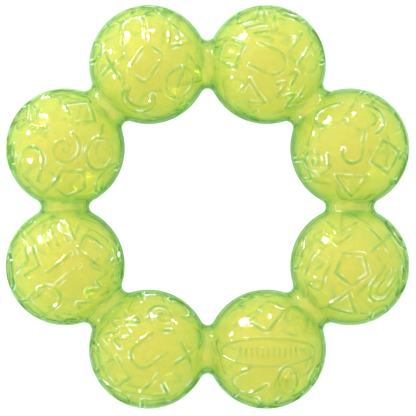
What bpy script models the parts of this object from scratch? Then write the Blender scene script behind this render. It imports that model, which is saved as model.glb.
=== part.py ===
"""Water-filled teething ring: eight round bulbs in a flat ring, joined by short waisted necks.

Metres, +Z up. The ring's axis is the Z axis and its back rests on Z = 0.
Two moulded half shells meet at the parting plane. An outer and an inner weld bead close that
joint, one charge of water fills the ring, and a plug closes the fill port.
"""
import math

import bmesh
import bpy
from mathutils import Matrix, Vector

# Driving dimensions
OVERALL_DIAMETER = 0.1000
BULB_COUNT = 8
BULB_RADIUS = 0.01457
WAIST_RADIUS = 0.0058
WALL = 0.0014
CLEARANCE = 0.0003
REST_FLAT_DEPTH = 0.0004

# Weld beads: closed loops in a groove along the parting plane
GROOVE_DEPTH = 0.0009
GROOVE_HALF_HEIGHT = 0.0009
BEAD_PROUD = 0.0002

# Fill port: in the back shell of one bulb, below the parting plane on the ring's outer side
PORT_BULB_AZIMUTH = math.radians(-67.5)
PORT_TILT = math.radians(45)
PORT_DIAMETER = 0.0040
COUNTERBORE_DIAMETER = 0.0066
COUNTERBORE_DEPTH = 0.0014
BOSS_DIAMETER = 0.0080
BOSS_DEPTH = 0.0026
PLUG_HEAD_THICKNESS = 0.0008
PLUG_FACE_DEPTH = 0.0003
PLUG_EDGE_BEVEL = 0.00015

# Facets
FILLET_STEPS = 2
BULB_STEPS = 4
AROUND_STEPS = 16
TURNED_SEGMENTS = 24
SOLVER_STEPS = 40

# Worked out from the dimensions above
HALF_PITCH = math.pi / BULB_COUNT
NECK_CENTRE_RADIUS = OVERALL_DIAMETER / 2 - BEAD_PROUD - BULB_RADIUS
BULB_CENTRE_RADIUS = NECK_CENTRE_RADIUS / math.cos(HALF_PITCH)
HALF_SPACING = BULB_CENTRE_RADIUS * math.sin(HALF_PITCH)
NECK_FILLET = (HALF_SPACING**2 + WAIST_RADIUS**2 - BULB_RADIUS**2) / (2 * (BULB_RADIUS - WAIST_RADIUS))
NECK_ANGLE = math.acos(HALF_SPACING / (BULB_RADIUS + NECK_FILLET))
PARTING_HEIGHT = BULB_RADIUS - REST_FLAT_DEPTH

# Linear colour and roughness of each kind of piece
SHELL_FINISH = ((0.50, 0.69, 0.11, 1.0), 0.15)
BEAD_FINISH = ((0.36, 0.58, 0.11, 1.0), 0.20)
PLUG_FINISH = ((0.30, 0.54, 0.11, 1.0), 0.25)
WATER_FINISH = ((0.72, 0.76, 0.20, 1.0), 0.05)

SHARP_ANGLE = math.radians(40)


def clear_scene():
    for item in list(bpy.data.objects):
        bpy.data.objects.remove(item, do_unlink=True)


def plain_material(name, finish):
    colour, roughness = finish
    material = bpy.data.materials.new(name)
    material.use_nodes = True
    shader = material.node_tree.nodes["Principled BSDF"]
    shader.inputs["Base Color"].default_value = colour
    shader.inputs["Roughness"].default_value = roughness
    shader.inputs["Metallic"].default_value = 0.0
    return material


def section_radius(along, inset):
    """Radius about the line between two bulb centres, at a distance along it from mid-neck."""
    fillet = NECK_FILLET + inset
    if along < fillet * math.sin(math.pi / 2 - NECK_ANGLE):
        return WAIST_RADIUS - inset + fillet - math.sqrt(fillet**2 - along**2)
    from_centre = along - HALF_SPACING
    return math.sqrt(max((BULB_RADIUS - inset) ** 2 - from_centre**2, 0.0))


def wall_point(from_neck, inset, around):
    """Radial distance and height of the wall in the half plane at an angle from mid-neck."""
    low = 0.0
    high = BULB_RADIUS - inset
    for _ in range(SOLVER_STEPS):
        middle = (low + high) / 2
        along = (NECK_CENTRE_RADIUS + middle * math.cos(around)) * math.tan(from_neck)
        if middle < section_radius(along, inset):
            low = middle
        else:
            high = middle
    across = NECK_CENTRE_RADIUS + low * math.cos(around)
    return across / math.cos(from_neck), low * math.sin(around)


def edge_point(from_neck, inset, height, outer):
    """The wall's point at a small height off the parting plane, on the outer or inner side."""
    level = wall_point(from_neck, inset, 0.0 if outer else math.pi)[0] * math.cos(from_neck)
    tilt = math.asin(height / abs(level - NECK_CENTRE_RADIUS))
    radial, _ = wall_point(from_neck, inset, tilt if outer else math.pi - tilt)
    return radial, height


def station_angles():
    """Azimuths of the cross-sections round the whole ring, each with its angle from mid-neck."""
    half = []
    for step in range(FILLET_STEPS):
        turn = (math.pi / 2 - NECK_ANGLE) * step / FILLET_STEPS
        half.append(math.atan2(NECK_FILLET * math.sin(turn), NECK_CENTRE_RADIUS))
    for step in range(BULB_STEPS + 1):
        turn = NECK_ANGLE + (math.pi / 2 - NECK_ANGLE) * step / BULB_STEPS
        half.append(math.atan2(HALF_SPACING - BULB_RADIUS * math.cos(turn), NECK_CENTRE_RADIUS))
    stations = []
    for neck in range(BULB_COUNT):
        azimuth = 2 * HALF_PITCH * neck
        stations += [(azimuth - angle, angle) for angle in reversed(half[1:])]
        stations += [(azimuth + angle, angle) for angle in half[:-1]]
    return stations


def ring_object(name, section, finish):
    """A closed ring: the section's outline at every station, joined to the next."""
    shape = bmesh.new()
    loops = []
    for azimuth, from_neck in station_angles():
        loop = []
        for radial, height in section(from_neck):
            loop.append(shape.verts.new((radial * math.cos(azimuth), radial * math.sin(azimuth), height)))
        loops.append(loop)
    for index, loop in enumerate(loops):
        following = loops[(index + 1) % len(loops)]
        for corner in range(len(loop)):
            after = (corner + 1) % len(loop)
            shape.faces.new((loop[corner], loop[after], following[after], following[corner]))
    bmesh.ops.recalc_face_normals(shape, faces=shape.faces)
    return mesh_object(name, shape, finish)


def turned_object(name, profile, finish=None):
    """A solid turned about its own Z axis from (radius, height) pairs, bottom to top."""
    shape = bmesh.new()
    rings = []
    for radius, height in profile:
        ring = []
        for segment in range(TURNED_SEGMENTS):
            turn = 2 * math.pi * segment / TURNED_SEGMENTS
            ring.append(shape.verts.new((radius * math.cos(turn), radius * math.sin(turn), height)))
        rings.append(ring)
    for lower, upper in zip(rings, rings[1:]):
        for segment in range(TURNED_SEGMENTS):
            after = (segment + 1) % TURNED_SEGMENTS
            shape.faces.new((lower[segment], lower[after], upper[after], upper[segment]))
    shape.faces.new(reversed(rings[0]))
    shape.faces.new(rings[-1])
    bmesh.ops.recalc_face_normals(shape, faces=shape.faces)
    return mesh_object(name, shape, finish)


def mesh_object(name, shape, finish=None):
    """The shape as an object; a cutter has no finish."""
    mesh = bpy.data.meshes.new(name)
    shape.to_mesh(mesh)
    shape.free()
    mesh.shade_smooth()
    mesh.set_sharp_from_angle(angle=SHARP_ANGLE)
    if finish:
        mesh.materials.append(plain_material(name, finish))
    item = bpy.data.objects.new(name, mesh)
    bpy.context.collection.objects.link(item)
    return item


def make_cutter(item):
    item.hide_render = True
    item.display_type = "WIRE"
    return item


def add_boolean(item, tool, operation):
    modifier = item.modifiers.new(tool.name, "BOOLEAN")
    modifier.operation = operation
    modifier.solver = "EXACT"
    modifier.object = tool


def half_shell_section(side):
    """One half shell's outline: groove, outer wall, groove, rim, inner wall, rim."""
    rim = CLEARANCE / 2
    turns = [math.pi * 2 * step / AROUND_STEPS for step in range(1, AROUND_STEPS // 2)]

    def section(from_neck):
        outline = [
            edge_point(from_neck, GROOVE_DEPTH, rim, True),
            edge_point(from_neck, GROOVE_DEPTH, GROOVE_HALF_HEIGHT, True),
            edge_point(from_neck, 0.0, GROOVE_HALF_HEIGHT, True),
        ]
        outline += [wall_point(from_neck, 0.0, turn) for turn in turns]
        outline += [
            edge_point(from_neck, 0.0, GROOVE_HALF_HEIGHT, False),
            edge_point(from_neck, GROOVE_DEPTH, GROOVE_HALF_HEIGHT, False),
            edge_point(from_neck, GROOVE_DEPTH, rim, False),
            edge_point(from_neck, WALL, rim, False),
        ]
        outline += [wall_point(from_neck, WALL, turn) for turn in reversed(turns)]
        outline.append(edge_point(from_neck, WALL, rim, True))
        return [(radial, height * side) for radial, height in outline]

    return section


def bead_section(outer):
    """A weld bead's outline: flat sides in the groove and a low crown standing proud."""
    foot = GROOVE_DEPTH - CLEARANCE
    half = GROOVE_HALF_HEIGHT - CLEARANCE
    corners = [(foot, half), (0.0, half), (-BEAD_PROUD, half / 2)]

    def section(from_neck):
        upper = [edge_point(from_neck, inset, height, outer) for inset, height in corners]
        lower = [(radial, -height) for radial, height in reversed(upper)]
        return upper + lower

    return section


def water_section(from_neck):
    turns = [2 * math.pi * step / AROUND_STEPS for step in range(AROUND_STEPS)]
    return [wall_point(from_neck, WALL + CLEARANCE, turn) for turn in turns]


def port_placement():
    """The port's axis: from its bulb's centre outwards and down, as a transform of +Z."""
    outward = Vector((math.cos(PORT_BULB_AZIMUTH), math.sin(PORT_BULB_AZIMUTH), 0.0))
    direction = outward * math.cos(PORT_TILT) - Vector((0.0, 0.0, math.sin(PORT_TILT)))
    turn = Vector((0.0, 0.0, 1.0)).rotation_difference(direction)
    return Matrix.LocRotScale(outward * BULB_CENTRE_RADIUS, turn, None)


def make_front_shell():
    return ring_object("front_shell", half_shell_section(1), SHELL_FINISH)


def make_back_shell():
    """The back half: eight flats to rest on, and a bored boss for the plug in one bulb."""
    shell = ring_object("back_shell", half_shell_section(-1), SHELL_FINISH)
    inside_wall = BULB_RADIUS - WALL + CLEARANCE
    boss_profile = [
        (BOSS_DIAMETER / 2, BULB_RADIUS - BOSS_DEPTH),
        (BOSS_DIAMETER / 2, inside_wall),
    ]
    boss = make_cutter(turned_object("port_boss", boss_profile))
    boss.matrix_local = port_placement()
    bore_profile = [
        (PORT_DIAMETER / 2, BULB_RADIUS - 2 * BOSS_DEPTH),
        (PORT_DIAMETER / 2, BULB_RADIUS - COUNTERBORE_DEPTH),
        (COUNTERBORE_DIAMETER / 2, BULB_RADIUS - COUNTERBORE_DEPTH),
        (COUNTERBORE_DIAMETER / 2, BULB_RADIUS + BOSS_DEPTH),
    ]
    bore = make_cutter(turned_object("port_bore", bore_profile))
    bore.matrix_local = port_placement()
    slab = make_cutter(rest_slab())
    add_boolean(shell, boss, "UNION")
    add_boolean(shell, bore, "DIFFERENCE")
    add_boolean(shell, slab, "DIFFERENCE")
    return [shell, boss, bore, slab]


def rest_slab():
    """Everything below the surface that the ring rests on."""
    shape = bmesh.new()
    width = OVERALL_DIAMETER + 2 * BULB_RADIUS
    thickness = BULB_RADIUS
    bmesh.ops.create_cube(shape, size=1.0)
    bmesh.ops.scale(shape, vec=(width, width, thickness), verts=shape.verts)
    bmesh.ops.translate(shape, vec=(0.0, 0.0, -PARTING_HEIGHT - thickness / 2), verts=shape.verts)
    return mesh_object("rest_slab", shape)


def make_weld_bead(name, outer):
    return ring_object(name, bead_section(outer), BEAD_FINISH)


def make_water_fill():
    """The water, with a recess that keeps clear of the port's boss."""
    water = ring_object("water_fill", water_section, WATER_FINISH)
    recess_profile = [
        (BOSS_DIAMETER / 2 + CLEARANCE, BULB_RADIUS - BOSS_DEPTH - CLEARANCE),
        (BOSS_DIAMETER / 2 + CLEARANCE, BULB_RADIUS + BOSS_DEPTH),
    ]
    recess = make_cutter(turned_object("boss_recess", recess_profile))
    recess.matrix_local = port_placement()
    add_boolean(water, recess, "DIFFERENCE")
    return [water, recess]


def make_fill_plug():
    """A headed plug: its stem fills the port, and its flat head lies in the counterbore."""
    face = BULB_RADIUS - PLUG_FACE_DEPTH
    shoulder = face - PLUG_HEAD_THICKNESS
    stem_end = BULB_RADIUS - BOSS_DEPTH
    stem_radius = PORT_DIAMETER / 2 - CLEARANCE
    head_radius = COUNTERBORE_DIAMETER / 2 - CLEARANCE
    profile = [
        (stem_radius - PLUG_EDGE_BEVEL, stem_end),
        (stem_radius, stem_end + PLUG_EDGE_BEVEL),
        (stem_radius, shoulder),
        (head_radius, shoulder),
        (head_radius, face - PLUG_EDGE_BEVEL),
        (head_radius - PLUG_EDGE_BEVEL, face),
    ]
    plug = turned_object("fill_plug", profile, PLUG_FINISH)
    plug.matrix_local = port_placement()
    return plug


def main():
    clear_scene()
    ring_centre = bpy.data.objects.new("ring_centre", None)
    ring_centre.location = (0.0, 0.0, PARTING_HEIGHT)
    bpy.context.collection.objects.link(ring_centre)
    pieces = [make_front_shell()]
    pieces += make_back_shell()
    pieces.append(make_weld_bead("outer_weld_bead", True))
    pieces.append(make_weld_bead("inner_weld_bead", False))
    pieces += make_water_fill()
    pieces.append(make_fill_plug())
    for piece in pieces:
        piece.parent = ring_centre


main()
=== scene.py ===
"""Looks of the water-filled teething ring: moulded relief, seams, water, plug, materials and light."""

import math
import random

import bpy
import numpy as np
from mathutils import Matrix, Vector
from mathutils.kdtree import KDTree


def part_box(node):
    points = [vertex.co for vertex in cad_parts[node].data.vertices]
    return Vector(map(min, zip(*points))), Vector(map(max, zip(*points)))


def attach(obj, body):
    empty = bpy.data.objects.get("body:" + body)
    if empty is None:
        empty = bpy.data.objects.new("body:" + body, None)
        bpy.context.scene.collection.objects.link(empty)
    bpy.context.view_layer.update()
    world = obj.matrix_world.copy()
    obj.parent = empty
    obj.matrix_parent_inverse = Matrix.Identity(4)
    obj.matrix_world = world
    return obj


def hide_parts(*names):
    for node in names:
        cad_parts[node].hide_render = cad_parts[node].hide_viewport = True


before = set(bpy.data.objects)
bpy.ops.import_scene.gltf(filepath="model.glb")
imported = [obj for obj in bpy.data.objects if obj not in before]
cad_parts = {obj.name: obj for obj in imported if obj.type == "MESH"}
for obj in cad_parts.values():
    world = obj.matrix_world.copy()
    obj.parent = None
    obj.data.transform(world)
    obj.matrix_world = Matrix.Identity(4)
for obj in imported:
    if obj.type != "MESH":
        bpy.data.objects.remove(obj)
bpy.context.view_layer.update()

MM = 0.001
SEED = 11

# The ring, read from the frame
BULB_COUNT = 8
HALF_PITCH = math.pi / BULB_COUNT
BEAD_LOW, BEAD_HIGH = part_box("outer_weld_bead")
FRONT_LOW, FRONT_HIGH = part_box("front_shell")
PARTING_HEIGHT = (BEAD_LOW.z + BEAD_HIGH.z) / 2
BULB_RADIUS = FRONT_HIGH.z - PARTING_HEIGHT
BEAD_PROUD = 0.2 * MM
NECK_CENTRE_RADIUS = BEAD_HIGH.x - BEAD_PROUD - BULB_RADIUS
BULB_CENTRE_RADIUS = NECK_CENTRE_RADIUS / math.cos(HALF_PITCH)
HALF_SPACING = BULB_CENTRE_RADIUS * math.sin(HALF_PITCH)

# The moulding
WAIST_RADIUS = 5.8 * MM
WALL = 1.4 * MM
NECK_FILLET = (HALF_SPACING**2 + WAIST_RADIUS**2 - BULB_RADIUS**2) / (2 * (BULB_RADIUS - WAIST_RADIUS))
NECK_ANGLE = math.acos(HALF_SPACING / (BULB_RADIUS + NECK_FILLET))
JOINT_GAP = 0.02 * MM
GROOVE_DEPTH = 0.90 * MM
GROOVE_HALF_HEIGHT = 0.50 * MM
WATER_OVERLAP = 0.05 * MM

# The relief's shapes: how large they are, where they go and the room they leave
BULB_SEED_STEP = 100
FRONT_SEED_STEP = 50
GLYPH_RADIUS = 4.3 * MM
SMALLEST_GLYPH = 0.55 * GLYPH_RADIUS
GLYPH_RINGS = ((0.0, 1), (39.0, 5), (69.0, 8))
GLYPH_LEAN_SPREAD = 2.5
GLYPH_TURN_SPREAD = 0.06
NECK_MARGIN = 1.4 * MM
BADGE_MARGIN = 0.6 * MM
LEAST_FORESHORTENING = 0.5
PORT_MARGIN = 1.2 * MM
BARE_BACK_ANGLE = math.radians(24)
SAMPLE_STEP = 0.12 * MM

# The strokes' profile, the collars at the necks, and how the relief fades out at the seam
STROKE_HALF_WIDTH = 0.38 * MM
STROKE_EDGE = 0.25 * MM
STROKE_HEIGHT = 0.46 * MM
COLLAR_HALF_WIDTH = 1.05 * MM
COLLAR_HEIGHT = 0.12 * MM
SEAM_CLEAR = 1.4 * MM
SEAM_FADE = 3.4 * MM

# Painted shade and painted glints that follow the relief: places are distances from a stroke's middle, a
# seam or a mid-neck
STROKE_SHADE_PLACE = 0.16 * MM
PAINTED_SHADE_WIDTH = 0.24 * MM
# Where the extra coat gloss and the painted glint sit at a stroke's feet
STROKE_FOOT_PLACE = 0.58 * MM
STROKE_FOOT_WIDTH = 0.16 * MM
# Painted shade, greener towards the seam
RIM_SHADE = 0.65
RIM_SHADE_TOP = 8.5 * MM
RIM_SHADE_FULL = 3.0 * MM
# Painted shade beside the necks
NECK_SHADE = 0.85
NECK_SHADE_PLACE = 1.8 * MM
NECK_SHADE_WIDTH = 1.0 * MM

# The oval badge and its ribs
BADGE_BULB = 6
BADGE_CENTRE = (0.2 * MM, -0.2 * MM)
BADGE_HALF_LENGTH = 11.4 * MM
BADGE_HALF_HEIGHT = 3.4 * MM
BADGE_RIDGE_HALF_WIDTH = 0.30 * MM
BADGE_RIDGE_EDGE = 0.25 * MM
BADGE_RIDGE_HEIGHT = 0.40 * MM
RIB_COUNT = 11
RIB_PITCH = 1.35 * MM
RIB_HALF_LENGTH = 1.0 * MM

# The fill port and its plug
PORT_TILT = math.radians(45)
PORT_AZIMUTH = HALF_PITCH * (2 * BADGE_BULB + 1)
PORT_RADIUS = 3.1 * MM
PORT_DEPTH = 0.7 * MM
PORT_EDGE = 0.2 * MM
PLUG_CLEARANCE = 0.15 * MM
PLUG_FACE_DEPTH = 0.25 * MM
PLUG_FLOOR_GAP = 0.03 * MM
PLUG_EDGE_ROUND = 0.25 * MM
PLUG_FOOT_BEVEL = 0.1 * MM
STEM_RADIUS = 1.65 * MM
STEM_TIP_RADIUS = 1.2 * MM
STEM_LENGTH = 1.2 * MM
STEM_STRAIGHT = 0.9 * MM
DIMPLE = ((1.3 * MM, 0.0), (1.0 * MM, 0.08 * MM), (0.5 * MM, 0.2 * MM), (0.0, 0.22 * MM))

# Mesh density
FRONT_CELLS = 99
BACK_CELLS = 51
COARSE = 3
CURVE_SAMPLES = 400
CURVE_CROWDING = 1.4
SOLVER_STEPS = 34
PLUG_SEGMENTS = 64
SHARP_ANGLE = math.radians(50)


# ---- The ring's surface ----

def section_radius(along, inset):
    """Radius about the line between two bulb centres, at a distance along it from mid-neck."""
    fillet = NECK_FILLET + inset
    neck = WAIST_RADIUS - inset + fillet - np.sqrt(np.maximum(fillet**2 - along**2, 0.0))
    bulb = np.sqrt(np.maximum((BULB_RADIUS - inset) ** 2 - (along - HALF_SPACING) ** 2, 0.0))
    return np.where(along < fillet * math.cos(NECK_ANGLE), neck, bulb)


def across(from_neck, inset, around):
    """Distance from the centre line to the wall, in the half plane at an angle from mid-neck."""
    low = np.zeros(np.broadcast(from_neck, around).shape)
    high = np.full_like(low, BULB_RADIUS - inset)
    for _ in range(SOLVER_STEPS):
        middle = (low + high) / 2
        along = (NECK_CENTRE_RADIUS + middle * np.cos(around)) * np.tan(from_neck)
        inside = middle < section_radius(along, inset)
        low = np.where(inside, middle, low)
        high = np.where(inside, high, middle)
    return low


def wall_place(from_neck, inset, around):
    """Radial distance and height of wall points."""
    out = across(from_neck, inset, around)
    radial = (NECK_CENTRE_RADIUS + out * np.cos(around)) / np.cos(from_neck)
    return radial, out * np.sin(around)


def even_steps(inset, around, cells):
    """Angles from mid-neck that part each line of constant turn evenly, neck to bulb middle."""
    sweep = np.linspace(0.0, 1.0, CURVE_SAMPLES)[:, None] ** CURVE_CROWDING * HALF_PITCH
    radial, height = wall_place(sweep, inset, around[None, :])
    place = np.stack([radial * np.cos(sweep), radial * np.sin(sweep), height], axis=-1)
    length = np.linalg.norm(np.diff(place, axis=0), axis=-1).cumsum(axis=0)
    length = np.concatenate([np.zeros((1, len(around))), length])
    steps = np.empty((cells + 1, len(around)))
    for column in range(len(around)):
        wanted = np.linspace(0.0, length[-1, column], cells + 1)
        steps[:, column] = np.interp(wanted, length[:, column], sweep[:, 0])
    return steps


def whole_ring(steps, radial, height):
    """Points of the whole ring from one neck-to-bulb stretch: an array of rows, columns, xyz."""
    rows = []
    for bulb in range(BULB_COUNT):
        start = 2 * HALF_PITCH * bulb
        end = start + 2 * HALF_PITCH
        rows.append((start + steps[:-1], radial[:-1], height[:-1]))
        rows.append((end - steps[:0:-1], radial[:0:-1], height[:0:-1]))
    turn = np.concatenate([row[0] for row in rows])
    radial = np.concatenate([row[1] for row in rows])
    height = np.concatenate([row[2] for row in rows])
    return np.stack([radial * np.cos(turn), radial * np.sin(turn), height], axis=-1)


def edge_turns(steps, inset, height):
    """Turn angles, per row, at which the wall's outer and inner sides pass a height."""
    outer = np.arcsin(height / across(steps[:, 0], inset, np.zeros(len(steps))))
    inner = np.arcsin(height / across(steps[:, -1], inset, np.full(len(steps), math.pi)))
    return outer, math.pi - inner


def half_wall(inset, edge_height, along_cells, around_cells):
    """Half of the ring's wall above a height, outer side to inner side, and its steps."""
    share = np.linspace(0.0, 1.0, around_cells + 1)
    steps = even_steps(inset, math.pi * share, along_cells)
    first, last = edge_turns(steps, inset, edge_height)
    around = first[:, None] + (last - first)[:, None] * share[None, :]
    radial, height = wall_place(steps, inset, around)
    height[:, 0] = edge_height
    height[:, -1] = edge_height
    return whole_ring(steps, radial, height), steps


def edge_line(steps, inset, height, outer):
    """One line round the ring at a small height, on the outer or the inner side."""
    column = steps[:, :1] if outer else steps[:, -1:]
    level = across(column, inset, np.full_like(column, 0.0 if outer else math.pi))
    tilt = np.arcsin(height / level)
    radial, _ = wall_place(column, inset, tilt if outer else math.pi - tilt)
    return whole_ring(column, radial, np.full_like(radial, height))


def grid_normals(grid):
    """Unit normals of a grid of points that closes along its rows, facing away from the ring's core."""
    along = np.roll(grid, -1, axis=0) - np.roll(grid, 1, axis=0)
    around = np.gradient(grid, axis=1)
    normals = np.cross(around, along)
    normals /= np.linalg.norm(normals, axis=-1, keepdims=True)
    middle = grid.shape[1] // 2
    if normals[0, middle, 2] < 0:
        normals = -normals
    return normals


# ---- The relief: plain geometric shapes, as lines on a unit disc ----

def arc(start, end, radius=1.0, centre=(0.0, 0.0), squash=1.0, points=40):
    turns = np.radians(np.linspace(start, end, points))
    x = centre[0] + radius * np.cos(turns)
    y = centre[1] + squash * radius * np.sin(turns)
    return np.stack([x, y], axis=-1)


def polygon(corners, first=90.0, radius=1.0):
    return arc(first, first + 360.0, radius, points=corners + 1)


def bar(x0, y0, x1, y1):
    return np.array([(x0, y0), (x1, y1)])


def ring_shape():
    return [arc(0, 360, 0.92)]


def oval_shape():
    return [arc(0, 360, 0.98, squash=0.58)]


def wave_shape():
    x = np.linspace(-1.0, 1.0, 50)
    return [np.stack([x, 0.42 * np.sin(2.0 * math.pi * x)], axis=-1)]


def twin_wave_shape():
    wave = wave_shape()[0]
    return [wave + (0.0, 0.45), wave - (0.0, 0.45)]


def spiral_shape():
    turns = np.linspace(0.6, 3.4 * math.pi, 90)
    reach = turns / turns[-1]
    return [np.stack([reach * np.cos(turns), reach * np.sin(turns)], axis=-1)]


def triangle_shape():
    return [polygon(3)]


def square_shape():
    return [polygon(4, 45.0)]


def pentagon_shape():
    return [polygon(5)]


def cross_shape():
    return [bar(-0.95, 0.0, 0.95, 0.0), bar(0.0, -0.95, 0.0, 0.95)]


def chevron_shape():
    return [
        np.array([(-0.85, -0.75), (0.0, 0.05), (0.85, -0.75)]),
        np.array([(-0.85, 0.0), (0.0, 0.8), (0.85, 0.0)]),
    ]


def bars_shape():
    return [bar(-0.85, 0.42, 0.85, 0.42), bar(-0.85, -0.42, 0.85, -0.42)]


def moon_shape():
    return [np.concatenate([arc(50, 310, 0.95), arc(295, 65, 0.74, centre=(0.30, 0.0))])]


def nested_arcs_shape():
    return [arc(10, 170, 0.95, centre=(0.0, -0.35)), arc(10, 170, 0.42, centre=(0.0, -0.35))]


def block_shape():
    """An upright rectangle with round corners."""
    corners = []
    for quarter, centre in enumerate([(0.32, 0.68), (-0.32, 0.68), (-0.32, -0.68), (0.32, -0.68)]):
        corners.append(arc(90 * quarter, 90 * quarter + 90, 0.30, centre, points=8))
    return [np.concatenate(corners + [corners[0][:1]])]


def corner_shape():
    return [np.array([(-0.7, 0.85), (-0.7, -0.7), (0.8, -0.7)]), bar(-0.1, 0.75, -0.1, 0.05)]


def hook_shape():
    return [np.concatenate([np.array([(0.55, 0.95)]), arc(0, -200, 0.55, centre=(0.0, -0.35))])]


def cup(radius):
    """A half circle with straight sides, open at the top."""
    return np.concatenate([[(-radius, 0.9)], arc(180, 360, radius, centre=(0.0, -0.25)), [(radius, 0.9)]])


def cup_shape():
    return [cup(0.7)]


def twin_cup_shape():
    return [cup(0.75), cup(0.32)]


SHAPES = [
    ring_shape, oval_shape, wave_shape, twin_wave_shape, spiral_shape, triangle_shape, square_shape,
    pentagon_shape, cross_shape, chevron_shape, bars_shape, moon_shape, nested_arcs_shape, block_shape,
    corner_shape, hook_shape, cup_shape, twin_cup_shape,
]


def dense_line(points, step):
    """The line's points with no two further apart than a step."""
    filled = [points[:1]]
    for start, end in zip(points, points[1:]):
        count = max(1, math.ceil(np.linalg.norm(end - start) / step))
        filled.append(start + (end - start) * (np.arange(1, count + 1) / count)[:, None])
    return np.concatenate(filled)


def unit(vector):
    return vector / np.linalg.norm(vector)


def bulb_azimuth(bulb):
    return HALF_PITCH * (2 * bulb + 1)


def bulb_centre(bulb):
    azimuth = bulb_azimuth(bulb)
    return BULB_CENTRE_RADIUS * np.array([math.cos(azimuth), math.sin(azimuth), 0.0])


def neck_directions(bulb):
    centre = bulb_centre(bulb)
    return [unit(bulb_centre(bulb + side) - centre) for side in (-1, 1)]


def port_direction():
    flat = math.cos(PORT_TILT)
    return np.array([flat * math.cos(PORT_AZIMUTH), flat * math.sin(PORT_AZIMUTH), -math.sin(PORT_TILT)])


def on_sphere(shape, middle, turn, size):
    """A shape's lines laid on the unit sphere about a direction, keeping distances from it."""
    side = unit(np.cross((0.31, 0.52, 0.79), middle))
    up = np.cross(middle, side)
    laid = []
    for line in shape:
        flat = dense_line(line * size, SAMPLE_STEP) / BULB_RADIUS
        turned_x = flat[:, 0] * math.cos(turn) - flat[:, 1] * math.sin(turn)
        turned_y = flat[:, 0] * math.sin(turn) + flat[:, 1] * math.cos(turn)
        reach = np.hypot(turned_x, turned_y)
        scale = np.sinc(reach / math.pi)
        laid.append(
            np.cos(reach)[:, None] * middle
            + (turned_x * scale)[:, None] * side
            + (turned_y * scale)[:, None] * up
        )
    return laid


def glyph_places(draw, front):
    """Directions for the shapes on one half of a bulb: one at the pole and two rings round it."""
    pole = 1.0 if front else -1.0
    places = []
    offset = draw.uniform(0.0, 2.0 * math.pi)
    for tilt, count in GLYPH_RINGS:
        for number in range(count):
            lean = math.radians(tilt + draw.uniform(-GLYPH_LEAN_SPREAD, GLYPH_LEAN_SPREAD))
            spread = draw.uniform(-GLYPH_TURN_SPREAD, GLYPH_TURN_SPREAD)
            turn = offset * (1 + tilt) + 2.0 * math.pi * (number + spread) / count
            level = math.sin(lean)
            places.append(np.array([level * math.cos(turn), level * math.sin(turn), pole * math.cos(lean)]))
    return places


def angle_between(one, other):
    return math.acos(max(-1.0, min(1.0, float(np.dot(one, other)))))


def glyph_size(place, bulb, front):
    """A shape's radius at a place on a bulb: smaller near a neck, and nothing where it has no room."""
    neck_room = min(angle_between(place, way) for way in neck_directions(bulb)) - NECK_ANGLE
    size = min(GLYPH_RADIUS, neck_room * BULB_RADIUS - NECK_MARGIN)
    if bulb == BADGE_BULB and front:
        off_x = abs(place[0] * BULB_RADIUS - BADGE_CENTRE[0]) - BADGE_HALF_LENGTH
        off_y = abs(place[1] * BULB_RADIUS - BADGE_CENTRE[1]) - BADGE_HALF_HEIGHT
        size = min(size, max(off_x, off_y) / max(place[2], LEAST_FORESHORTENING) - BADGE_MARGIN)
    if bulb == BADGE_BULB and not front:
        port_room = angle_between(place, port_direction()) * BULB_RADIUS - PORT_RADIUS
        size = min(size, port_room - PORT_MARGIN)
    if not front and place[2] < -math.cos(BARE_BACK_ANGLE):
        size = 0.0
    return size if size > SMALLEST_GLYPH else 0.0


def relief_lines(bulb, front):
    """The relief's lines on one half of a bulb, as directions from its centre."""
    draw = random.Random(SEED + BULB_SEED_STEP * bulb + (FRONT_SEED_STEP if front else 0))
    lines = []
    order = draw.sample(SHAPES, len(SHAPES))
    for number, place in enumerate(glyph_places(draw, front)):
        size = glyph_size(place, bulb, front)
        turn = draw.uniform(0.0, 2.0 * math.pi)
        if size > 0.0:
            lines += on_sphere(order[number % len(order)](), place, turn, size)
    return np.concatenate(lines)


def badge_outline():
    """The oval badge's outline, seen from the front, as directions from its bulb's centre."""
    oval = arc(0, 360, BADGE_HALF_LENGTH, BADGE_CENTRE, BADGE_HALF_HEIGHT / BADGE_HALF_LENGTH, 361)
    return lifted(dense_line(oval, SAMPLE_STEP))


def badge_ribs():
    """A row of plain upright ribs inside the badge."""
    lines = []
    for number in range(RIB_COUNT):
        x = BADGE_CENTRE[0] + (number - (RIB_COUNT - 1) / 2) * RIB_PITCH
        y = BADGE_CENTRE[1]
        lines.append(dense_line(bar(x, y - RIB_HALF_LENGTH, x, y + RIB_HALF_LENGTH), SAMPLE_STEP))
    return lifted(np.concatenate(lines))


def lifted(flat):
    """Points seen from the front, placed on the bulb's front half."""
    height = np.sqrt(np.maximum(BULB_RADIUS**2 - (flat**2).sum(axis=1), 0.0))
    return np.concatenate([flat, height[:, None]], axis=1) / BULB_RADIUS


def distances(points, directions):
    """Distance of each point, given about a bulb's centre, to the nearest of the lines."""
    tree = KDTree(len(directions))
    for index, direction in enumerate(directions):
        tree.insert(direction * BULB_RADIUS, index)
    tree.balance()
    return np.array([tree.find(point)[2] for point in points])


def smooth_step(value, low, high):
    share = np.clip((value - low) / (high - low), 0.0, 1.0)
    return share * share * (3.0 - 2.0 * share)


def ridge(distance, half_width, edge, height):
    """A raised line's profile: a flat top and straight flanks."""
    return height * np.clip((half_width + edge - distance) / (2 * edge), 0.0, 1.0)


def near_line(distance, place, width):
    """How near a point is to a line at a distance from a stroke's middle, from 0 to 1."""
    return np.exp(-(((distance - place) / width) ** 2))


def rim_shade(height):
    """Painted shade, greener towards the seam, from 0 to RIM_SHADE."""
    return RIM_SHADE * (1.0 - smooth_step(height, RIM_SHADE_FULL, RIM_SHADE_TOP))


def neck_shade(along):
    """Painted shade in a greener band on each side of a neck, from 0 to NECK_SHADE."""
    return NECK_SHADE * np.exp(-(((along - NECK_SHADE_PLACE) / NECK_SHADE_WIDTH) ** 2))


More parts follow.
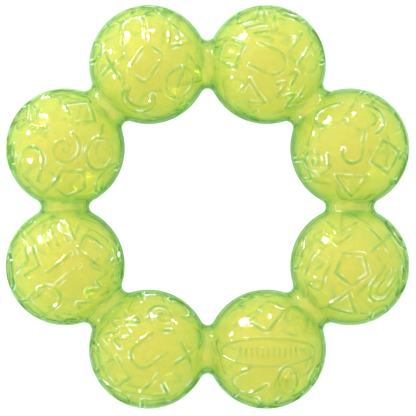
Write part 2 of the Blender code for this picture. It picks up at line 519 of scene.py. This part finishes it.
def from_mid_neck(grid):
    """Distance of each point from the nearest mid-neck plane."""
    turn = np.arctan2(grid[..., 1], grid[..., 0])
    off = (turn + HALF_PITCH) % (2 * HALF_PITCH) - HALF_PITCH
    return np.abs(np.hypot(grid[..., 0], grid[..., 1]) * np.sin(off))


def relief(grid, front):
    """How far each point of the outer wall stands proud, and how strongly it takes each painted shade and
    the painted glint.
    """
    rows = len(grid) // BULB_COUNT
    along = from_mid_neck(grid)
    heights = ridge(along, COLLAR_HALF_WIDTH, STROKE_EDGE, COLLAR_HEIGHT)
    # Painted shade: greener lines along the collars' edges, bands beside the necks, and patches towards the
    # seam
    collar_shade = near_line(along, COLLAR_HALF_WIDTH, PAINTED_SHADE_WIDTH)
    painted_relief_shade = np.maximum(np.maximum(collar_shade, neck_shade(along)), rim_shade(grid[..., 2]))
    painted_badge_shade = np.zeros_like(painted_relief_shade)
    foot_gloss_and_painted_glint = np.zeros_like(painted_relief_shade)
    for bulb in range(BULB_COUNT):
        span = slice(bulb * rows, (bulb + 1) * rows)
        points = (grid[span] - bulb_centre(bulb)).reshape(-1, 3)
        if not front:
            points = points * (1.0, 1.0, -1.0)
        strokes = distances(points, relief_lines(bulb, front))
        raised = ridge(strokes, STROKE_HALF_WIDTH, STROKE_EDGE, STROKE_HEIGHT)
        # Painted shade along each stroke's middle
        painted_light = near_line(strokes, STROKE_SHADE_PLACE, PAINTED_SHADE_WIDTH)
        # At each stroke's feet, a mask for extra coat gloss and a painted pale glint
        foot = near_line(strokes, STROKE_FOOT_PLACE, STROKE_FOOT_WIDTH)
        if bulb == BADGE_BULB and front:
            badge = distances(points, np.concatenate([badge_outline(), badge_ribs()]))
            badge_ridge = ridge(badge, BADGE_RIDGE_HALF_WIDTH, BADGE_RIDGE_EDGE, BADGE_RIDGE_HEIGHT)
            raised = np.maximum(raised, badge_ridge)
            # Painted shade along the badge's outline and ribs
            painted_badge_shade[span] = near_line(badge, 0.0, PAINTED_SHADE_WIDTH).reshape(painted_badge_shade[span].shape)
        if bulb == BADGE_BULB and not front:
            port = np.linalg.norm(points - port_direction() * BULB_RADIUS, axis=1)
            raised -= ridge(port, PORT_RADIUS, PORT_EDGE, PORT_DEPTH)
        heights[span] += raised.reshape(heights[span].shape)
        painted_relief_shade[span] = np.maximum(painted_relief_shade[span], painted_light.reshape(painted_relief_shade[span].shape))
        foot_gloss_and_painted_glint[span] = foot.reshape(foot_gloss_and_painted_glint[span].shape)
    fade = smooth_step(grid[..., 2], SEAM_CLEAR, SEAM_CLEAR + SEAM_FADE)
    # Masks of painted shade, painted badge shade, and extra coat gloss with a painted glint
    painted_light_masks = {
        "painted_relief_shade": painted_relief_shade * np.sqrt(fade),
        "painted_badge_shade": painted_badge_shade,
        "foot_gloss_and_painted_glint": foot_gloss_and_painted_glint * fade,
    }
    return heights * fade, painted_light_masks


# ---- Meshes ----

def mesh_piece(name, points, faces, node):
    mesh = bpy.data.meshes.new(name)
    mesh.from_pydata(points.tolist(), [], faces)
    mesh.shade_smooth()
    mesh.set_sharp_from_angle(angle=SHARP_ANGLE)
    piece = bpy.data.objects.new(name, mesh)
    piece.location = (0.0, 0.0, PARTING_HEIGHT)
    bpy.context.collection.objects.link(piece)
    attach(piece, "root")
    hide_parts(node)
    return piece


def grid_faces(rows, columns, first, closed, flip):
    """Quads between neighbouring rows and columns; rows always close into a ring."""
    faces = []
    spans = columns if closed else columns - 1
    for row in range(rows):
        following = (row + 1) % rows
        for column in range(spans):
            after = (column + 1) % columns
            quad = [
                first + row * columns + column,
                first + following * columns + column,
                first + following * columns + after,
                first + row * columns + after,
            ]
            faces.append(quad[::-1] if flip else quad)
    return faces


def line_band(one, other, flip):
    """Quads between two lines of vertex numbers that each close into a ring."""
    count = len(one)
    faces = []
    for index in range(count):
        after = (index + 1) % count
        quad = [one[index], one[after], other[after], other[index]]
        faces.append(quad[::-1] if flip else quad)
    return faces


def fine_to_coarse_band(fine, coarse, flip):
    """Faces between a fine closed line and one with a point for every COARSE of its points."""
    faces = []
    for index in range(len(coarse)):
        after = (index + 1) % len(coarse)
        run = [fine[(index * COARSE + step) % len(fine)] for step in range(COARSE + 1)]
        face = [coarse[index], coarse[after]] + run[::-1]
        faces.append(face[::-1] if flip else face)
    return faces


def half_shell(name, node, front):
    """One moulded half: relief outside, a smooth wall inside, and a grooved rim on both sides."""
    cells = FRONT_CELLS if front else BACK_CELLS
    outside, steps = half_wall(0.0, GROOVE_HALF_HEIGHT, cells, 2 * cells)
    heights, painted_light_masks = relief(outside, front)
    outside = outside + grid_normals(outside) * heights[..., None]
    if not front:
        outside[..., 2] = np.minimum(outside[..., 2], PARTING_HEIGHT)
    inside, inside_steps = half_wall(WALL, JOINT_GAP, cells // COARSE, 2 * cells // COARSE)
    lines = []
    for outer in (True, False):
        for height in (GROOVE_HALF_HEIGHT, JOINT_GAP):
            lines.append(edge_line(steps, GROOVE_DEPTH, height, outer)[:, 0])
    rows, columns = outside.shape[:2]
    inner_rows, inner_columns = inside.shape[:2]
    points = np.concatenate([outside.reshape(-1, 3), inside.reshape(-1, 3)] + lines)
    inside_first = rows * columns
    line_first = inside_first + inner_rows * inner_columns
    line = [list(range(line_first + rows * index, line_first + rows * (index + 1))) for index in range(4)]
    outside_edge = [row * columns for row in range(rows)]
    inside_edge = [inside_first + row * inner_columns for row in range(inner_rows)]
    faces = grid_faces(rows, columns, 0, False, False)
    faces += grid_faces(inner_rows, inner_columns, inside_first, False, True)
    faces += line_band(outside_edge, line[0], True)
    faces += line_band(line[0], line[1], True)
    faces += fine_to_coarse_band(line[1], inside_edge, False)
    outside_edge = [number + columns - 1 for number in outside_edge]
    inside_edge = [number + inner_columns - 1 for number in inside_edge]
    faces += line_band(outside_edge, line[2], False)
    faces += line_band(line[2], line[3], False)
    faces += fine_to_coarse_band(line[3], inside_edge, True)
    if not front:
        points = points * (1.0, 1.0, -1.0)
        faces = [face[::-1] for face in faces]
    piece = mesh_piece(name, points, faces, node)
    # The painted shade and painted glint masks become point attributes of the outer wall
    for mask_name, painted_light in painted_light_masks.items():
        values = np.zeros(len(points))
        values[:inside_first] = painted_light.ravel()
        piece.data.attributes.new(mask_name, "FLOAT", "POINT").data.foreach_set("value", values)
    return piece


def weld_seam(name, node, outer):
    """The weld bead: flat sides in the groove and a rounded crown just proud of the shells."""
    share = np.array([0.0, 1.0])
    steps = even_steps(0.0, math.pi * share, BACK_CELLS // COARSE)
    foot = GROOVE_DEPTH - JOINT_GAP
    half = GROOVE_HALF_HEIGHT - JOINT_GAP
    outline = [(foot, half), (0.0, half)]
    for turn in (60, 30, 0):
        outline.append((-BEAD_PROUD * math.cos(math.radians(turn)), half * math.sin(math.radians(turn))))
    outline += [(inset, -height) for inset, height in outline[-2::-1]]
    columns = []
    for inset, height in outline:
        column = edge_line(steps, inset, abs(height), outer)
        column[..., 2] = height
        columns.append(column)
    grid = np.concatenate(columns, axis=1)
    faces = grid_faces(grid.shape[0], grid.shape[1], 0, True, outer)
    return mesh_piece(name, grid.reshape(-1, 3), faces, node)


def water():
    """The water: it fills the shells, and overlaps them a little so that no air shows between."""
    turns = np.linspace(0.0, 2.0 * math.pi, 2 * BACK_CELLS, endpoint=False)
    inset = WALL - WATER_OVERLAP
    steps = even_steps(inset, turns, BACK_CELLS // COARSE)
    radial, height = wall_place(steps, inset, np.broadcast_to(turns, steps.shape))
    grid = whole_ring(steps, radial, height)
    faces = grid_faces(grid.shape[0], grid.shape[1], 0, True, False)
    return mesh_piece("water_charge", grid.reshape(-1, 3), faces, "water_fill")


def plug():
    """The fill plug: a round head with a softened edge and a shallow dimple, on a short stem."""
    head = PORT_RADIUS - PLUG_CLEARANCE
    face = BULB_RADIUS - PLUG_FACE_DEPTH
    floor = BULB_RADIUS - PORT_DEPTH + PLUG_FLOOR_GAP
    profile = [
        (0.0, floor - STEM_LENGTH),
        (STEM_TIP_RADIUS, floor - STEM_LENGTH),
        (STEM_RADIUS, floor - STEM_STRAIGHT),
        (STEM_RADIUS, floor),
        (head - PLUG_FOOT_BEVEL, floor),
        (head, floor + PLUG_FOOT_BEVEL),
    ]
    for turn in range(0, 91, 15):
        bend = math.radians(turn)
        radius = head - PLUG_EDGE_ROUND * (1 - math.cos(bend))
        profile.append((radius, face - PLUG_EDGE_ROUND * (1 - math.sin(bend))))
    for radius, depth in DIMPLE:
        profile.append((radius, face - depth))
    return turned_piece("plug_moulding", profile, "fill_plug")


def turned_piece(name, profile, node):
    """A solid turned about the port's axis from (radius, distance from the bulb's centre) pairs."""
    middle = bulb_centre(BADGE_BULB)
    axis = port_direction()
    side = unit(np.cross((0.0, 0.0, 1.0), axis))
    up = np.cross(axis, side)
    points = [middle + axis * profile[0][1], middle + axis * profile[-1][1]]
    rings = []
    for radius, distance in profile[1:-1]:
        ring = []
        for segment in range(PLUG_SEGMENTS):
            turn = 2.0 * math.pi * segment / PLUG_SEGMENTS
            ring.append(len(points))
            outward = math.cos(turn) * side + math.sin(turn) * up
            points.append(middle + axis * distance + radius * outward)
        rings.append(ring)
    faces = []
    for segment in range(PLUG_SEGMENTS):
        after = (segment + 1) % PLUG_SEGMENTS
        faces.append((0, rings[0][after], rings[0][segment]))
        faces.append((1, rings[-1][segment], rings[-1][after]))
        for lower, upper in zip(rings, rings[1:]):
            faces.append((lower[segment], lower[after], upper[after], upper[segment]))
    return mesh_piece(name, np.array(points), faces, node)


# ---- Materials ----

# Light bends less than in the real plastic and water, so that the bulbs show no dark lens images
BODY_IOR = 1.06
WATER_IOR = 1.05

# A very thin coat with a strong reflection gives small sharp glints without haze at the rims
COAT_IOR = 6.0
COAT_ROUGHNESS = 0.04

# Surface colours, pale and deep, and what the depth of the plastic and of the water takes away
SHELL_COLOURS = ((0.985, 0.83, 0.35, 1), (0.975, 0.815, 0.34, 1))
WELD_COLOURS = ((0.38, 0.82, 0.27, 1), (0.34, 0.78, 0.24, 1))
PLUG_COLOURS = ((0.92, 0.99, 0.78, 1), (0.90, 0.98, 0.74, 1))
WATER_COLOURS = ((0.99, 1.0, 0.90, 1), (1.0, 1.0, 0.94, 1))
# Deep green: a faint random flow-line tint in the body, and painted shade along the relief, necks and rims
FLOW_AND_PAINTED_SHADE_GREEN = (0.15, 0.56, 0.30, 1)
# Painted pale glint at the strokes' feet
PAINTED_GLINT_COLOUR = (1.0, 1.0, 0.90, 1)
PLASTIC_ABSORBS = (0.645, 0.925, 0.78, 1)
PLASTIC_DENSITY = 380.0
PLUG_DENSITY = 200.0
WATER_ABSORBS = (1.0, 0.99, 0.55, 1)
WATER_DENSITY = 30.0

# Transmission, roughness and weight of the coat
SHELL_FINISH = (0.94, 0.05, 0.032)
WELD_FINISH = (0.85, 0.15, 0.01)
PLUG_FINISH = (0.95, 0.06, 0.03)

# Noise patterns: scale per metre, detail and roughness
CLOUDS = (90.0, 4.0, 0.6)
FLOW_LINES = (620.0, 2.0, 0.5)
FLOW_LINES_DRAWN_OUT = 9.0
STROKE_BREAKS = (230.0, 2.0, 0.5)
GLINT_BREAKS = (330.0, 1.0, 0.5)
GLOSS_PATCHES = (300.0, 5.0, 0.65)
WAVES = (210.0, 2.0, 0.4)
FINE_GRAIN = (1400.0, 3.0, 0.6)
WATER_CLOUDS = (60.0, 3.0, 0.5)
WATER_RIPPLES = (200.0, 3.0, 0.5)

# How strongly the flow-line tint, the painted shade and the painted glints show, from the low to the high
# end of their noise
FLOW_LINE_TINT = (0.0, 0.09)
PAINTED_SHADE_SPREAD = (-0.25, 1.00)
GLOSS_AND_GLINT_SPREAD = (-1.1, 1.2)
BADGE_SHADE_STRENGTH = 0.50
ROUGHNESS_SPREAD = (0.6, 1.6)
WATER_ROUGHNESS = (0.0, 0.03)

# Bumps: strength and distance
WAVE_BUMP = (0.60, 0.25 * MM)
GRAIN_BUMP = (0.10, 0.04 * MM)


class Nodes:
    """A material's node tree with its Principled shader."""

    def __init__(self, name):
        self.material = bpy.data.materials.new(name)
        self.material.use_nodes = True
        self.tree = self.material.node_tree
        self.shader = self.tree.nodes["Principled BSDF"]
        self.output = self.tree.nodes["Material Output"]
        self.place = self.add("ShaderNodeTexCoord").outputs["Object"]

    def add(self, kind, **settings):
        node = self.tree.nodes.new(kind)
        for key, value in settings.items():
            setattr(node, key, value)
        return node

    def noise(self, scale, detail, roughness, drawn_out=1.0):
        """Noise in the object's own space, which may be drawn out along the height."""
        mapping = self.add("ShaderNodeMapping")
        mapping.inputs["Scale"].default_value = (1.0, 1.0, 1.0 / drawn_out)
        self.tree.links.new(self.place, mapping.inputs["Vector"])
        node = self.add("ShaderNodeTexNoise")
        self.tree.links.new(mapping.outputs["Vector"], node.inputs["Vector"])
        node.inputs["Scale"].default_value = scale
        node.inputs["Detail"].default_value = detail
        node.inputs["Roughness"].default_value = roughness
        return node.outputs["Fac"]

    def ramp(self, source, low, high):
        """Noise, whose values lie mostly within 0.3 to 0.7, spread out from low to high."""
        node = self.add("ShaderNodeMapRange")
        self.tree.links.new(source, node.inputs["Value"])
        node.inputs["From Min"].default_value = 0.3
        node.inputs["From Max"].default_value = 0.7
        node.inputs["To Min"].default_value = low
        node.inputs["To Max"].default_value = high
        return node.outputs["Result"]

    def mixed(self, source, low, high):
        return self.blended(self.ramp(source, 0.0, 1.0), low, high)

    def blended(self, factor, low, high):
        """A colour between two, either of which may be a socket."""
        node = self.add("ShaderNodeMix", data_type="RGBA")
        self.tree.links.new(factor, node.inputs["Factor"])
        for socket, colour in (("A", low), ("B", high)):
            if isinstance(colour, tuple):
                node.inputs[socket].default_value = colour
            else:
                self.tree.links.new(colour, node.inputs[socket])
        return node.outputs["Result"]

    def worked_out(self, operation, one, other):
        """A Math node's value from a socket and another socket or a number."""
        node = self.add("ShaderNodeMath", operation=operation)
        self.tree.links.new(one, node.inputs[0])
        if isinstance(other, float):
            node.inputs[1].default_value = other
        else:
            self.tree.links.new(other, node.inputs[1])
        return node.outputs["Value"]

    def attribute(self, name):
        return self.add("ShaderNodeAttribute", attribute_name=name).outputs["Fac"]

    def bump(self, source, strength, distance, under=None):
        node = self.add("ShaderNodeBump")
        self.tree.links.new(source, node.inputs["Height"])
        node.inputs["Strength"].default_value = strength
        node.inputs["Distance"].default_value = distance
        if under:
            self.tree.links.new(under, node.inputs["Normal"])
        return node.outputs["Normal"]

    def plug_in(self, source, socket):
        self.tree.links.new(source, self.shader.inputs[socket])

    def absorb(self, colour, density):
        node = self.add("ShaderNodeVolumeAbsorption")
        node.inputs["Color"].default_value = colour
        node.inputs["Density"].default_value = density
        self.tree.links.new(node.outputs["Volume"], self.output.inputs["Volume"])


def painted_relief_light(nodes, body, coat):
    """Painted shade, greener at the strokes, necks and rims, and at the strokes' feet more coat gloss with
    a painted pale glint, over a body colour.
    """
    # Painted shade: the relief's shade mask, broken by noise, mixes the deep green into the body colour
    broken = nodes.ramp(nodes.noise(*STROKE_BREAKS), *PAINTED_SHADE_SPREAD)
    strokes = nodes.worked_out("MULTIPLY", nodes.attribute("painted_relief_shade"), broken)
    # Painted shade along the badge
    badge = nodes.worked_out("MULTIPLY", nodes.attribute("painted_badge_shade"), BADGE_SHADE_STRENGTH)
    painted_light = nodes.worked_out("MAXIMUM", strokes, badge)
    body = nodes.blended(painted_light, body, FLOW_AND_PAINTED_SHADE_GREEN)
    # At the strokes' feet the coat weight rises, which is real gloss, and the base colour is painted a pale
    # glint
    sparse = nodes.ramp(nodes.noise(*GLINT_BREAKS), *GLOSS_AND_GLINT_SPREAD)
    gloss_and_painted_glint = nodes.worked_out("MULTIPLY", nodes.attribute("foot_gloss_and_painted_glint"), sparse)
    gloss_and_painted_glint = nodes.worked_out("MAXIMUM", gloss_and_painted_glint, coat)
    nodes.plug_in(gloss_and_painted_glint, "Coat Weight")
    return nodes.blended(gloss_and_painted_glint, body, PAINTED_GLINT_COLOUR)


def moulded_plastic(name, colours, transmission, roughness, coat, density=PLASTIC_DENSITY, with_painted_light=False):
    """Soft translucent plastic: a thin gloss over a tinted body, which may carry painted shade and painted
    glints along the relief.
    """
    nodes = Nodes(name)
    nodes.shader.inputs["Coat Weight"].default_value = coat
    body = nodes.mixed(nodes.noise(*CLOUDS), *colours)
    flow_lines = nodes.ramp(nodes.noise(*FLOW_LINES, drawn_out=FLOW_LINES_DRAWN_OUT), *FLOW_LINE_TINT)
    body = nodes.blended(flow_lines, body, FLOW_AND_PAINTED_SHADE_GREEN)
    if with_painted_light:
        body = painted_relief_light(nodes, body, coat)
    nodes.plug_in(body, "Base Color")
    smoothest, roughest = ROUGHNESS_SPREAD
    patches = nodes.ramp(nodes.noise(*GLOSS_PATCHES), roughness * smoothest, roughness * roughest)
    nodes.plug_in(patches, "Roughness")
    nodes.shader.inputs["Transmission Weight"].default_value = transmission
    nodes.shader.inputs["IOR"].default_value = BODY_IOR
    nodes.shader.inputs["Coat Roughness"].default_value = COAT_ROUGHNESS
    nodes.shader.inputs["Coat IOR"].default_value = COAT_IOR
    wavy = nodes.bump(nodes.noise(*WAVES), *WAVE_BUMP)
    fine = nodes.bump(nodes.noise(*FINE_GRAIN), *GRAIN_BUMP, wavy)
    nodes.plug_in(fine, "Normal")
    nodes.plug_in(wavy, "Coat Normal")
    nodes.absorb(PLASTIC_ABSORBS, density)
    return nodes.material


def clear_water():
    nodes = Nodes("water")
    nodes.plug_in(nodes.mixed(nodes.noise(*WATER_CLOUDS), *WATER_COLOURS), "Base Color")
    nodes.plug_in(nodes.ramp(nodes.noise(*WATER_RIPPLES), *WATER_ROUGHNESS), "Roughness")
    nodes.shader.inputs["Transmission Weight"].default_value = 1.0
    nodes.shader.inputs["IOR"].default_value = WATER_IOR
    nodes.absorb(WATER_ABSORBS, WATER_DENSITY)
    return nodes.material


# ---- Stage ----

FLOOR_SIZE = 6.0
FLOOR_HEIGHT = -0.1 * MM
FLOOR_COLOUR = (0.15, 0.15, 0.15, 1)
FLOOR_ROUGHNESS = 0.9
FLOOR_GLOW = 1.10
WHITE = (1.0, 1.0, 1.0, 1)
LAMP_DISTANCE = 0.9
CAMERA_DISTANCE = 0.9
SENSOR_WIDTH = 36.0
VIEW_WIDTH = 102.9 * MM
VIEW_CENTRE = (0.12 * MM, -0.30 * MM)

# Each lamp's name, the direction it stands in, its size in metres and its power in watts
LAMPS = (
    ("key_softbox", (-0.62, 0.74, 0.25), 0.30, 12.0),
    ("left_softbox", (-0.93, -0.30, 0.22), 0.08, 4.5),
    ("right_softbox", (0.70, 0.70, 0.16), 0.08, 4.5),
    ("top_softbox", (0.10, 0.95, 0.35), 0.08, 4.5),
    ("low_softbox", (-0.85, 0.35, 0.12), 0.08, 4.5),
)


def studio_floor():
    """A plain floor that gives some light of its own, so that the ring hardly casts a shadow."""
    bpy.ops.mesh.primitive_plane_add(size=FLOOR_SIZE, location=(0.0, 0.0, FLOOR_HEIGHT))
    floor = bpy.context.object
    floor.name = "floor"
    nodes = Nodes("floor")
    nodes.shader.inputs["Base Color"].default_value = FLOOR_COLOUR
    nodes.shader.inputs["Roughness"].default_value = FLOOR_ROUGHNESS
    nodes.shader.inputs["Specular IOR Level"].default_value = 0.0
    nodes.shader.inputs["Emission Color"].default_value = WHITE
    nodes.shader.inputs["Emission Strength"].default_value = FLOOR_GLOW
    floor.data.materials.append(nodes.material)


def softbox(name, direction, size, power):
    """A round lamp that looks at the ring's centre from a direction."""
    light = bpy.data.lights.new(name, "AREA")
    light.shape = "DISK"
    light.size = size
    light.energy = power
    lamp = bpy.data.objects.new(name, light)
    way = Vector(direction).normalized()
    lamp.location = Vector((0.0, 0.0, PARTING_HEIGHT)) + way * LAMP_DISTANCE
    lamp.rotation_mode = "QUATERNION"
    lamp.rotation_quaternion = way.to_track_quat("Z", "Y")
    bpy.context.collection.objects.link(lamp)


def studio_light():
    world = bpy.data.worlds.new("studio")
    bpy.context.scene.world = world
    world.use_nodes = True
    world.node_tree.nodes["Background"].inputs["Color"].default_value = WHITE
    world.node_tree.nodes["Background"].inputs["Strength"].default_value = 1.0
    for lamp in LAMPS:
        softbox(*lamp)


def camera():
    """Straight down on the ring, as a long lens sees it, with the ring a little above the middle."""
    data = bpy.data.cameras.new("camera")
    data.sensor_width = SENSOR_WIDTH
    data.lens = SENSOR_WIDTH * CAMERA_DISTANCE / VIEW_WIDTH
    item = bpy.data.objects.new("camera", data)
    item.location = (*VIEW_CENTRE, PARTING_HEIGHT + CAMERA_DISTANCE)
    bpy.context.collection.objects.link(item)
    bpy.context.scene.camera = item


def main():
    shell = moulded_plastic("shell_plastic", SHELL_COLOURS, *SHELL_FINISH, with_painted_light=True)
    weld = moulded_plastic("weld_plastic", WELD_COLOURS, *WELD_FINISH)
    stopper = moulded_plastic("plug_plastic", PLUG_COLOURS, *PLUG_FINISH, density=PLUG_DENSITY)
    half_shell("front_shell_moulding", "front_shell", True).data.materials.append(shell)
    half_shell("back_shell_moulding", "back_shell", False).data.materials.append(shell)
    weld_seam("outer_weld_seam", "outer_weld_bead", True).data.materials.append(weld)
    weld_seam("inner_weld_seam", "inner_weld_bead", False).data.materials.append(weld)
    water().data.materials.append(clear_water())
    plug().data.materials.append(stopper)
    studio_floor()
    studio_light()
    camera()
    scene = bpy.context.scene
    scene.view_settings.view_transform = "Standard"
    scene.cycles.max_bounces = 24
    scene.cycles.transmission_bounces = 24
    scene.cycles.glossy_bounces = 8
    scene.cycles.diffuse_bounces = 6


main()
